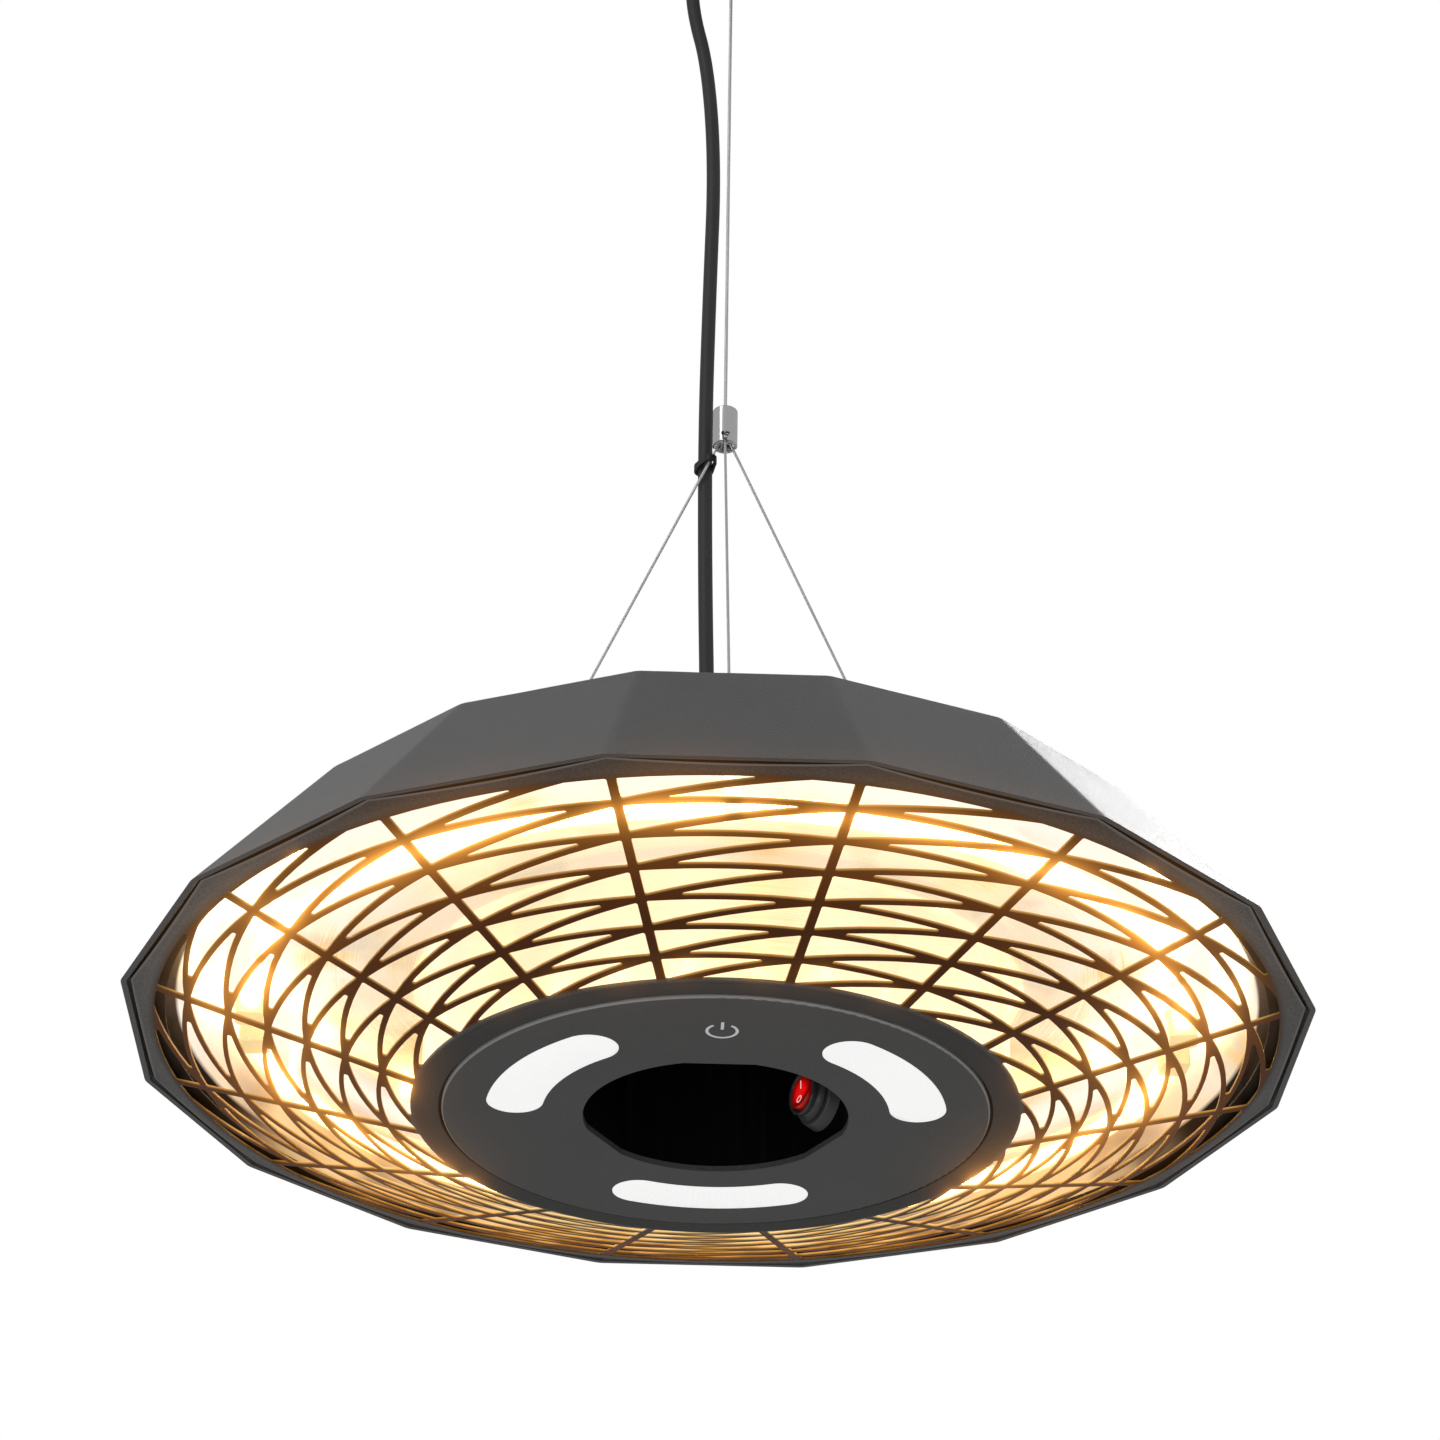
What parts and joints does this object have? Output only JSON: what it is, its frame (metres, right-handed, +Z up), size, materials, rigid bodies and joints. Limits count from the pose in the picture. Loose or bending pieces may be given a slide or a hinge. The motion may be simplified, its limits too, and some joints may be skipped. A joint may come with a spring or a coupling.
{
  "type": "hanging infrared patio heater",
  "caption": "Hanging infrared heater: faceted tapered casing on a steel wire, ribbed round grille with glowing tubes, and a centre panel with lights and a rocker switch in a well.",
  "frame": {"origin": "middle of the ceiling plate's upper face, where it meets the ceiling", "axes": "+Z up into the ceiling, -Y towards the front with the touch mark, +X to the right seen from the front"},
  "size_m": [0.5884, 0.5884, 0.8298],
  "materials": {
    "casing_paint": "fine textured powder coat, dark anthracite",
    "grille_paint": "heat-proof satin paint, dark anthracite",
    "ceiling_paint": "fine textured powder coat, dark anthracite",
    "panel_plastic": "matte dark grey",
    "well_plastic": "matte black",
    "lens_plastic": "opal diffuser",
    "icon_inlay": "pale grey inlay",
    "circuit_board": "green lacquered laminate",
    "boot_rubber": "matte moulded rubber",
    "switch_plastic": "satin black",
    "rocker_plastic": "translucent red",
    "polished_steel": "turned and plated",
    "wire_steel": "stranded stainless wire",
    "fastener_steel": "zinc plated",
    "sheet_steel": "galvanised sheet",
    "reflector_sheet": "polished with fine spin lines",
    "quartz": "clear quartz",
    "filament_wire": "glowing coil",
    "ceramic": "cream ceramic",
    "cord_rubber": "matte black sheath",
    "tie_plastic": "black polyamide",
    "gland_plastic": "black polyamide",
    "lead_braid": "glass braid",
    "terminal_plastic": "cream moulding",
    "box_plastic": "black moulding"
  },
  "bodies": {
    "ceiling_mount": {"ceiling_plate": "sheet_steel", "hanger_bracket": "sheet_steel", "hanger_pin": "fastener_steel", "pin_clip": "fastener_steel", "ceiling_canopy": "ceiling_paint", "canopy_screws": "fastener_steel", "canopy_gland": "gland_plastic", "canopy_gland_nut": "gland_plastic", "supply_terminals": "terminal_plastic"},
    "heater": {"wire_eye": "polished_steel", "main_wire": "wire_steel", "wire_hub": "polished_steel", "hub_screw": "fastener_steel", "leg_wire_front": "wire_steel", "leg_wire_left": "wire_steel", "leg_wire_right": "wire_steel", "leg_ball_ends": "polished_steel", "wire_anchors": "polished_steel", "anchor_nuts": "fastener_steel", "cable_tie": "tie_plastic", "power_cord": "cord_rubber", "body_gland": "gland_plastic", "body_gland_nut": "gland_plastic", "upper_casing": "casing_paint", "casing_screws": "fastener_steel", "core_drum": "sheet_steel", "core_screws": "fastener_steel", "rim_ring": "grille_paint", "reflector": "reflector_sheet", "front_grille": "grille_paint", "control_panel": "panel_plastic", "power_icon": "icon_inlay", "touch_board": "circuit_board", "center_well": "well_plastic", "well_screws": "fastener_steel", "switch_boot": "boot_rubber", "switch_housing": "switch_plastic", "rocker_pin": "fastener_steel", "switch_nut": "switch_plastic", "light_lens_rear": "lens_plastic", "light_lens_left": "lens_plastic", "light_lens_right": "lens_plastic", "light_board_rear": "circuit_board", "light_board_left": "circuit_board", "light_board_right": "circuit_board", "heat_tube_front": "quartz", "heat_tube_rear": "quartz", "filament_front": "filament_wire", "filament_rear": "filament_wire", "tube_end_caps": "ceramic", "tube_clips": "fastener_steel", "clip_screws": "fastener_steel", "tube_leads": "lead_braid", "lead_bushings": "ceramic", "terminal_block": "terminal_plastic", "control_box": "box_plastic", "light_driver": "box_plastic"},
    "rocker": {"switch_rocker": "rocker_plastic"}
  },
  "joints": [
    {"name": "swing", "type": "hinge", "parent": "ceiling_mount", "child": "heater", "pos_m": [0, 0, -0.02], "axis": [0, 1, 0], "range_deg": [-15, 15], "deforming": ["power_cord"]},
    {"name": "rocker_press", "type": "hinge", "parent": "heater", "child": "rocker", "pos_m": [0.04581, 0.02645, -0.803], "axis": [0.5, -0.866, 0], "range_deg": [0, 14]}
  ]
}
